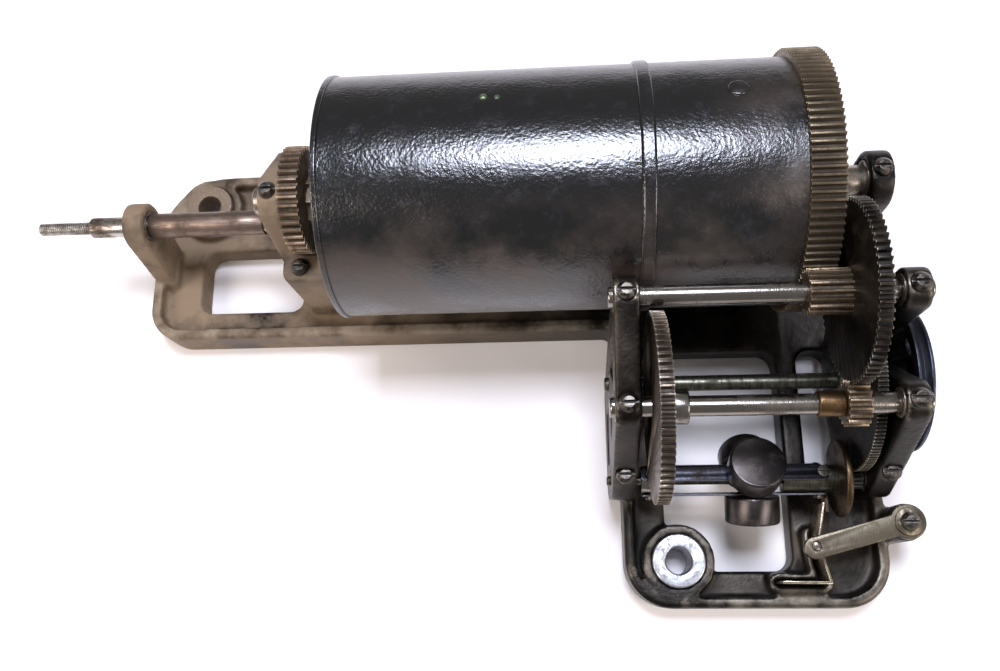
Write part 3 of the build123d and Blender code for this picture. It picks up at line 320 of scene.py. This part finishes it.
def old_metal(
    name, bare, stained, dirt_and_shade_colour, rubbed, patch=6.0, grain=0.6, bare_rough=0.3, dirty_rough=0.65,
    stain_from=0.42, dirt_and_shade_reach=2.0, dirt_and_shade_from=0.55, corner_width=0.5, relief=0.05,
    stretch=(1, 1, 1), dust=None,
):
    """Old bare metal: stained in patches, dark in its corners with dirt and painted shade, and
    bright where it is rubbed.

    patch and grain are the sizes of the stains and of the surface's texture in millimetres,
    and stretch is how much closer the texture is along each axis, for turned and brushed work.
    dust is a colour that covers the winding end of a piece.
    """
    material = bpy.data.materials.new(name)
    tree, shader, where = finish_tree(material)
    drawn = add_node(
        tree, "ShaderNodeMapping", {"Vector": where, "Scale": stretch}, vector_type="POINT"
    )
    blots = add_node(
        tree, "ShaderNodeTexNoise",
        {"Vector": where, "Scale": 1 / (patch * MM), "Detail": 6.0, "Roughness": 0.65},
    ).outputs["Fac"]
    fine = add_node(
        tree, "ShaderNodeTexNoise",
        {
            "Vector": drawn.outputs["Vector"], "Scale": 1 / (grain * MM),
            "Detail": 4.0, "Roughness": 0.6,
        },
    ).outputs["Fac"]
    both = add_node(
        tree, "ShaderNodeMix", {0: 0.35, 2: blots, 3: fine}, data_type="FLOAT"
    ).outputs[0]
    stain = share_of(tree, both, stain_from, stain_from + 0.16)
    base = add_node(
        tree, "ShaderNodeMix", {0: stain, 6: linear(bare), 7: linear(stained)}, data_type="RGBA"
    ).outputs[2]
    # Painted shade: ambient occlusion darkens the corners toward the dirt colour in blotches, so
    # this is dirt and painted shade together.
    hollow = add_node(
        tree, "ShaderNodeAmbientOcclusion",
        {"Distance": dirt_and_shade_reach * MM}, only_local=True, samples=8,
    ).outputs["AO"]
    shade = add_node(
        tree, "ShaderNodeMath",
        {0: hollow, 1: share_of(tree, blots, 1.35, 0.15)}, operation="MULTIPLY",
    ).outputs["Value"]
    dirt_and_shade_share = share_of(tree, shade, dirt_and_shade_from + 0.15, dirt_and_shade_from - 0.2)
    grimed_and_shaded = add_node(
        tree, "ShaderNodeMix", {0: dirt_and_shade_share, 6: base, 7: linear(dirt_and_shade_colour)}, data_type="RGBA"
    ).outputs[2]
    corner = add_node(
        tree, "ShaderNodeAmbientOcclusion",
        {"Distance": corner_width * MM}, inside=True, only_local=True, samples=8,
    ).outputs["AO"]
    touched = add_node(
        tree, "ShaderNodeMath",
        {0: share_of(tree, corner, 0.75, 0.35), 1: share_of(tree, fine, 0.25, 0.55)},
        operation="MULTIPLY",
    ).outputs["Value"]
    final = add_node(
        tree, "ShaderNodeMix", {0: touched, 6: grimed_and_shaded, 7: linear(rubbed)}, data_type="RGBA"
    ).outputs[2]
    if dust:
        across = add_node(tree, "ShaderNodeSeparateXYZ", {"Vector": where}).outputs["X"]
        cover = add_node(
            tree, "ShaderNodeMath",
            {0: share_of(tree, across, -60 * MM, -130 * MM), 1: share_of(tree, fine, 0.15, 0.45)},
            operation="MULTIPLY",
        ).outputs["Value"]
        final = add_node(
            tree, "ShaderNodeMix", {0: cover, 6: final, 7: linear(dust)}, data_type="RGBA"
        ).outputs[2]
        dirt_and_shade_share = add_node(
            tree, "ShaderNodeMath", {0: dirt_and_shade_share, 1: cover}, operation="MAXIMUM"
        ).outputs["Value"]
    tree.links.new(final, shader.inputs["Base Color"])
    matt = add_node(
        tree, "ShaderNodeMath", {0: stain, 1: 0.45, 2: dirt_and_shade_share}, operation="MULTIPLY_ADD"
    ).outputs["Value"]
    tree.links.new(share_of(tree, dirt_and_shade_share, 1.3, 0.0), shader.inputs["Metallic"])
    rough = add_node(
        tree, "ShaderNodeMapRange", {"Value": matt, "To Min": bare_rough, "To Max": dirty_rough}
    ).outputs["Result"]
    tree.links.new(rough, shader.inputs["Roughness"])
    bump = add_node(
        tree, "ShaderNodeBump", {"Height": fine, "Strength": 0.6, "Distance": relief * MM}
    ).outputs["Normal"]
    tree.links.new(bump, shader.inputs["Normal"])
    return material


def eased_piece(node, material, width=0.15, segments=2, angle=30):
    """A CAD node's piece with its sharp edges eased by a real bevel, width in millimetres."""
    work = cleaned_copy(node)
    piece = link_piece(node + "_eased", mesh_of(work, node + "_eased"), material)
    bevel = piece.modifiers.new("eased_edges", "BEVEL")
    bevel.width = width * MM
    bevel.segments = segments
    bevel.limit_method = "ANGLE"
    bevel.angle_limit = math.radians(angle)
    bevel.harden_normals = True
    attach(piece, nodes[node]["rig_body"])
    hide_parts(node)
    return piece


zinc = old_metal(
    "bare_cast_zinc", "#c9ccd2", "#8f8f94", "#4a4238", "#eceef2", patch=3.0, grain=0.5,
    bare_rough=0.30, dirty_rough=0.6, relief=0.06, corner_width=0.7, dust="#7d6a55",
)
eased_piece("mounting_bushings", zinc, width=0.35, segments=3)
bush_steel = old_metal(
    "oil_browned_bush_steel", "#8f8375", "#4f463a", "#231d17", "#c8bba6", patch=2.5, grain=0.4,
    bare_rough=0.36,
)
for node in ("left_bearing_bushes", "right_bearing_bushes", "winding_bushes"):
    eased_piece(node, bush_steel, width=0.2)

# ---- Screws ----
# Slotted cheese-head screws hold the bushes, the pillar, the lever and the governor's springs.
# Turned from steel and blued; the bluing has worn off the rims and slots.

screw_steel = old_metal(
    "worn_blued_screw_steel", "#3a3836", "#6c655c", "#17130f", "#d9d2c6", patch=2.0, grain=0.3,
    bare_rough=0.28, dirty_rough=0.55, corner_width=0.35, dirt_and_shade_reach=1.2,
)
for node in (
    "bearing_set_screws",
    "pillar_screw",
    "lever_screw",
    "click_stud",
    "governor_hub_screws",
    "governor_sleeve_screws",
):
    eased_piece(node, screw_steel, width=0.3, segments=3)

# ---- Spring barrel ----
# Two rolled sheet-iron shells, joined by a raised band and closed by a pressed cap with a rolled
# rim. Stoved with black japan, glossy where it was not handled and scuffed grey where it was.

shell_low, shell_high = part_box("barrel_long_shell")
barrel_axis = (shell_low + shell_high) / 2

japan = bpy.data.materials.new("scuffed_black_japan")
tree, shader, where = finish_tree(japan)
drift = add_node(
    tree, "ShaderNodeTexNoise",
    {"Vector": where, "Scale": 1 / (26 * MM), "Detail": 8.0, "Roughness": 0.62},
).outputs["Fac"]
fog = add_node(
    tree, "ShaderNodeTexNoise",
    {"Vector": where, "Scale": 1 / (7 * MM), "Detail": 8.0, "Roughness": 0.7},
).outputs["Fac"]
peel = add_node(
    tree, "ShaderNodeTexNoise",
    {"Vector": where, "Scale": 1 / (1.1 * MM), "Detail": 3.0, "Roughness": 0.55},
).outputs["Fac"]
dents = add_node(
    tree, "ShaderNodeTexNoise",
    {"Vector": where, "Scale": 1 / (11 * MM), "Detail": 2.0, "Roughness": 0.5},
).outputs["Fac"]
scuffed = share_of(tree, fog, 0.54, 0.80)
lacquer = add_node(
    tree, "ShaderNodeMix",
    {0: scuffed, 6: linear("#060608"), 7: linear("#1e1d25")}, data_type="RGBA",
).outputs[2]
above = add_node(tree, "ShaderNodeSeparateXYZ", {"Vector": where})
# Browner on the front flank, below the axis in Y: a painted reflection of the warm table there.
# Beside the ring gear the brown is oil grime.
low_side = add_node(
    tree, "ShaderNodeMapRange",
    {
        "Value": above.outputs["Y"], "From Min": barrel_axis.y - 16 * MM,
        "From Max": barrel_axis.y - 36 * MM,
    },
).outputs["Result"]
near_gear = add_node(
    tree, "ShaderNodeMapRange",
    {"Value": above.outputs["X"], "From Min": 5 * MM, "From Max": 34 * MM},
).outputs["Result"]
flank_reflection_and_gear_grime = add_node(
    tree, "ShaderNodeMath", {0: low_side, 1: near_gear}, operation="MAXIMUM"
).outputs["Value"]
brown = add_node(
    tree, "ShaderNodeMath", {0: flank_reflection_and_gear_grime, 1: share_of(tree, drift, 0.40, 0.62)}, operation="MULTIPLY"
).outputs["Value"]
coloured = add_node(
    tree, "ShaderNodeMix", {0: brown, 6: lacquer, 7: linear("#3a3029")}, data_type="RGBA"
).outputs[2]
tree.links.new(coloured, shader.inputs["Base Color"])
haze = add_node(
    tree, "ShaderNodeMath", {0: scuffed, 1: 0.55, 2: brown}, operation="MULTIPLY_ADD"
).outputs["Value"]
gloss = add_node(
    tree, "ShaderNodeMapRange", {"Value": haze, "To Min": 0.20, "To Max": 0.46}
).outputs["Result"]
tree.links.new(gloss, shader.inputs["Roughness"])
shader.inputs["IOR"].default_value = 1.62
shader.inputs["Specular IOR Level"].default_value = 0.6
waves = add_node(
    tree, "ShaderNodeBump", {"Height": dents, "Strength": 0.5, "Distance": 0.6 * MM}
).outputs["Normal"]
orange = add_node(
    tree, "ShaderNodeBump",
    {"Height": peel, "Normal": waves, "Strength": 0.9, "Distance": 0.16 * MM},
).outputs["Normal"]
tree.links.new(orange, shader.inputs["Normal"])
for node in ("barrel_left_cap", "barrel_long_shell", "barrel_seam_band", "barrel_short_shell"):
    nodes[node].data.materials[0] = japan

# Two copper rivets close the long shell's lap, and a pressed plug closes the grease hole of the
# short one.
RIVETS = ((-60.3, 14.4, 1.25), (-56.0, 14.0, 0.95))
RIVET_FLATTENING = 0.55
PLUG_X, PLUG_SIDE, PLUG_RADIUS = 15.5, 13.5, 3.1
PLUG_SIDES = 36
SHELL_RADIUS = (shell_high.z - shell_low.z) / 2


def on_shell(x, side):
    """The place and outward turn of a spot on the shell, side millimetres behind its top line."""
    lean = math.asin(side * MM / SHELL_RADIUS)
    place = (x * MM, barrel_axis.y + side * MM, barrel_axis.z + SHELL_RADIUS * math.cos(lean))
    return Matrix.Translation(place) @ Matrix.Rotation(-lean, 4, "X")


verdigris = old_metal(
    "green_copper_rivet", "#7d8f6d", "#4a5a48", "#1d1d18", "#a9b58f", patch=1.0, grain=0.3,
    bare_rough=0.4,
)
rivets = bmesh.new()
for x, side, radius in RIVETS:
    bmesh.ops.create_uvsphere(
        rivets, u_segments=24, v_segments=12, radius=radius * MM,
        matrix=on_shell(x, side) @ Matrix.Diagonal((1, 1, RIVET_FLATTENING, 1)),
    )
barrel_rivets = link_piece("barrel_rivets", mesh_of(rivets, "barrel_rivets"), verdigris)
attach(barrel_rivets, "barrel")



def turned_on_lathe(outline, axis, steps):
    """A bmesh turned round an axis through the origin, from an outline of x and z in mm."""
    work = bmesh.new()
    profile = [work.verts.new((x * MM, 0, z * MM)) for x, z in outline]
    edges = [work.edges.new(pair) for pair in zip(profile, profile[1:])]
    bmesh.ops.spin(
        work, geom=profile + edges, cent=(0, 0, 0), axis=axis,
        angle=2 * math.pi, steps=steps, use_merge=True,
    )
    bmesh.ops.remove_doubles(work, verts=work.verts, dist=0.001 * MM)
    bmesh.ops.recalc_face_normals(work, faces=work.faces)
    return work


plug_outline = (
    (0, -0.6), (PLUG_RADIUS, -0.6), (PLUG_RADIUS, 0.25), (2.6, 0.42), (2.1, 0.22), (0, 0.12),
)
plug = turned_on_lathe(plug_outline, axis=(0, 0, 1), steps=PLUG_SIDES)
bmesh.ops.transform(plug, matrix=on_shell(PLUG_X, PLUG_SIDE), verts=plug.verts)
grease_plug = link_piece("grease_plug", mesh_of(plug, "grease_plug"), japan)
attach(grease_plug, "barrel")

# ---- Ring gear ----
# A broad cast-iron gear pressed on the short shell drives the train. Its teeth are milled;
# dried oil and dust fill the gaps, deepened with painted shade, and the tips of the teeth are worn.

ring_iron = old_metal(
    "dusty_milled_cast_iron", "#6f6351", "#564b3c", "#2a231c", "#a39474", patch=9.0, grain=0.8,
    bare_rough=0.42, dirty_rough=0.75, dirt_and_shade_reach=1.6, dirt_and_shade_from=0.5, corner_width=0.45,
)
eased_piece("ring_gear", ring_iron, width=0.12)

# ---- Mainsprings, arbor and ratchet ----
# Three steel ribbons coil round the arbor inside the barrel. The arbor passes through the bracket
# and carries the winding gear and the ratchet wheel, and a click on a stud stops them.

ribbon_steel = old_metal(
    "oiled_blue_spring_steel", "#4a4c55", "#2f2a28", "#1b1714", "#a6a8b0", patch=8.0, grain=0.8,
    bare_rough=0.3,
)
for node in ("mainspring_1", "mainspring_2", "mainspring_3"):
    nodes[node].data.materials[0] = ribbon_steel
arbor_steel = old_metal(
    "turned_arbor_steel", "#a89f93", "#6f6457", "#2c241c", "#ded6c8", patch=5.0, grain=0.35,
    bare_rough=0.28, stretch=(1, 0.05, 0.05),
)
eased_piece("arbor", arbor_steel, width=0.25)
winding_iron = old_metal(
    "tan_dusted_gear_iron", "#8d7a66", "#6d5d4d", "#3a2f25", "#bfae97", patch=6.0, grain=0.9,
    bare_rough=0.5, dirty_rough=0.8, dirt_and_shade_reach=1.8, dirt_and_shade_from=0.5,
)
eased_piece("winding_gear", winding_iron, width=0.2)
eased_piece("ratchet_wheel", winding_iron, width=0.2)
eased_piece("click", winding_iron, width=0.3)

# ---- Winding shaft ----
# A steel rod, threaded at its free end for the crank, in a plain sleeve. It turns in the eye and
# the bracket. The crank end is polished by use and the sleeve has a soft brown-grey film.

THREAD_LENGTH = 20.0
THREAD_PITCH = 0.8
THREAD_RADIUS = 2.35
THREAD_DEPTH = 0.35
THREAD_SIDES = 32
RINGS_PER_PITCH = 6
SHAFT_RADIUS = 3.75
shaft_low, shaft_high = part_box("winding_shaft")
shaft_axis = (shaft_low + shaft_high) / 2
start = shaft_low.x / MM
shoulder = start + THREAD_LENGTH
end = shaft_high.x / MM
rings = int(THREAD_LENGTH / THREAD_PITCH * RINGS_PER_PITCH)
outline = [(start, 0.0), (start, THREAD_RADIUS - 0.5)]
outline += [
    (start + 0.4 + (THREAD_LENGTH - 0.4) * ring / rings, THREAD_RADIUS)
    for ring in range(rings + 1)
]
outline += [(shoulder, SHAFT_RADIUS - 0.8), (shoulder + 0.8, SHAFT_RADIUS)]
outline += [(end - 0.3, SHAFT_RADIUS), (end, SHAFT_RADIUS - 0.3), (end, 0.0)]
rod = turned_on_lathe(outline, axis=(1, 0, 0), steps=THREAD_SIDES)
for corner in rod.verts:
    along = corner.co.x / MM - start
    if 0.3 < along < THREAD_LENGTH - 1.0:
        turn = along / THREAD_PITCH - math.atan2(corner.co.z, corner.co.y) / (2 * math.pi)
        depth = THREAD_DEPTH * abs(2 * (turn % 1.0) - 1.0)
        corner.co.yz = corner.co.yz.normalized() * (THREAD_RADIUS - depth) * MM
bmesh.ops.translate(rod, vec=(0, shaft_axis.y, shaft_axis.z), verts=rod.verts)
rod_mesh = mesh_of(rod, "threaded_winding_shaft")
rod_mesh.set_sharp_from_angle(angle=math.radians(40))
crank_steel = old_metal(
    "polished_crank_end_steel", "#b9b4ab", "#5d4c3e", "#2c2119", "#e8e4da", patch=9.0, grain=0.5,
    bare_rough=0.26, dirty_rough=0.6, stain_from=0.44, stretch=(0.3, 1, 1),
)
winding_rod = link_piece("threaded_winding_shaft", rod_mesh, crank_steel)
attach(winding_rod, "winding")
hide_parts("winding_shaft")
sleeve_steel = old_metal(
    "filmed_sleeve_steel", "#8b7a6e", "#6a5a4e", "#32281f", "#b8a899", patch=12.0, grain=0.5,
    bare_rough=0.42, dirty_rough=0.7, stretch=(0.15, 1, 1),
)
eased_piece("winding_sleeve", sleeve_steel, width=0.3)
eased_piece("winding_pinion", winding_iron, width=0.15)

# ---- Gear train ----
# Three shafts step the speed up from the barrel. Each has a pinion and a wheel with cut teeth,
# pinned on a collar. Steel shafts stay bright between the walls, and the wheels are dark with oil.

bright_steel = old_metal(
    "bright_turned_shaft_steel", "#8b867e", "#5f584d", "#2b231c", "#cbc6bb", patch=9.0, grain=0.4,
    bare_rough=0.2, dirty_rough=0.5, stain_from=0.5, stretch=(1, 0.04, 0.04),
)
dull_steel = old_metal(
    "oil_darkened_shaft_steel", "#6b6a5e", "#3f3c33", "#201b16", "#aaa693", patch=4.0, grain=0.6,
    bare_rough=0.35, dirty_rough=0.6, stretch=(1, 0.1, 0.1),
)
wheel_steel = old_metal(
    "oil_blackened_gear_steel", "#232120", "#3b342c", "#14110f", "#c2b99f", patch=8.0, grain=0.7,
    bare_rough=0.38, dirty_rough=0.7, corner_width=0.45, dirt_and_shade_reach=1.2,
)
worn_wheel_steel = old_metal(
    "worn_gear_steel", "#6a6055", "#4d443a", "#221c16", "#d8d2c2", patch=7.0, grain=0.7,
    bare_rough=0.32, dirty_rough=0.65, corner_width=0.5, dirt_and_shade_reach=1.2,
)
pinion_steel = old_metal(
    "tan_pinion_steel", "#85745e", "#5f5140", "#2a221a", "#cdbd9f", patch=4.0, grain=0.5,
    bare_rough=0.38, dirty_rough=0.65, dirt_and_shade_reach=1.2,
)
collar_brass = old_metal(
    "browned_collar_brass", "#6d5539", "#4a3a29", "#211912", "#a88f63", patch=4.0, grain=0.5,
    bare_rough=0.36, dirty_rough=0.6,
)
for node, metal, width in (
    ("shaft_a", bright_steel, 0.25),
    ("pinion_a", pinion_steel, 0.15),
    ("gear_a", wheel_steel, 0.12),
    ("shaft_b", bright_steel, 0.25),
    ("pinion_b", pinion_steel, 0.15),
    ("pinion_b_collar", collar_brass, 0.3),
    ("gear_b", worn_wheel_steel, 0.12),
    ("gear_b_hub", bright_steel, 0.3),
    ("shaft_c", dull_steel, 0.25),
    ("pinion_c", dull_steel, 0.12),
    ("pinion_c_collar", dull_steel, 0.3),
    ("gear_c", wheel_steel, 0.08),
    ("gear_c_hub", dull_steel, 0.3),
):
    eased_piece(node, metal, width=width)

# ---- Belt pulley ----
# Shaft C ends outside the right wall in a flat-belt pulley, turned from iron with a shallow groove.
# Its dish is blue-black with a paler rim.

pulley_iron = old_metal(
    "blue_black_pulley_iron", "#4b505c", "#34343a", "#1c1917", "#9a9ca6", patch=9.0, grain=0.6,
    bare_rough=0.34, dirty_rough=0.6, corner_width=0.6,
)
eased_piece("belt_pulley", pulley_iron, width=0.3, segments=3)

# ---- Governor ----
# Three round iron weights on leaf springs fly out as the spindle speeds up, and draw the sleeve
# and its friction disc along the spindle to the brake. Turned faces are dark, rims are bright.

weight_iron = old_metal(
    "purple_brown_weight_iron", "#45403f", "#5a534d", "#211c19", "#d2c4a6", patch=5.0, grain=0.5,
    bare_rough=0.30, dirty_rough=0.5, corner_width=0.45, stain_from=0.5,
)
disc_bronze = old_metal(
    "dark_disc_bronze", "#5b4a36", "#3d3328", "#1f1913", "#a08a5f", patch=6.0, grain=0.5,
    bare_rough=0.36,
)
for node, metal, width in (
    ("governor_shaft", dull_steel, 0.15),
    ("governor_pinion", dull_steel, 0.08),
    ("governor_hub", bright_steel, 0.3),
    ("governor_leaf_springs", ribbon_steel, 0.05),
    ("governor_sleeve", dull_steel, 0.3),
    ("friction_disc", disc_bronze, 0.25),
    ("flyweight_1", weight_iron, 0.35),
    ("flyweight_2", weight_iron, 0.35),
    ("flyweight_3", weight_iron, 0.35),
):
    eased_piece(node, metal, width=width)

# ---- Speed lever and brake ----
# A flat nickelled lever turns on a shouldered screw; the pin at its tip bends the brake spring,
# whose leather pad rubs the friction disc. The nickel is worn, scratched and brown at its edges.

lever_nickel = old_metal(
    "worn_nickel_plate", "#70695a", "#544c40", "#2f2820", "#b0a893", patch=5.0, grain=0.5,
    bare_rough=0.3, dirty_rough=0.55, stretch=(1, 0.2, 1),
)
eased_piece("speed_lever", lever_nickel, width=0.3, segments=3)
eased_piece("lever_pin", bright_steel, width=0.2)
eased_piece("lever_washer", lever_nickel, width=0.2)
brake_steel = old_metal(
    "bright_brake_spring_steel", "#a59a85", "#5d5344", "#2a231b", "#efe5cc", patch=5.0, grain=0.4,
    bare_rough=0.25,
)
eased_piece("brake_spring", brake_steel, width=0.12)

pad_leather = bpy.data.materials.new("oiled_pad_leather")
tree, shader, where = finish_tree(pad_leather)
hide = add_node(
    tree, "ShaderNodeTexNoise",
    {"Vector": where, "Scale": 1 / (0.8 * MM), "Detail": 4.0, "Roughness": 0.6},
).outputs["Fac"]
tint = add_node(
    tree, "ShaderNodeMix", {0: hide, 6: linear("#2e2018"), 7: linear("#5c4330")}, data_type="RGBA"
).outputs[2]
tree.links.new(tint, shader.inputs["Base Color"])
shader.inputs["Roughness"].default_value = 0.7
pores = add_node(
    tree, "ShaderNodeBump", {"Height": hide, "Strength": 0.5, "Distance": 0.15 * MM}
).outputs["Normal"]
tree.links.new(pores, shader.inputs["Normal"])
eased_piece("brake_pad", pad_leather, width=0.5, segments=3)
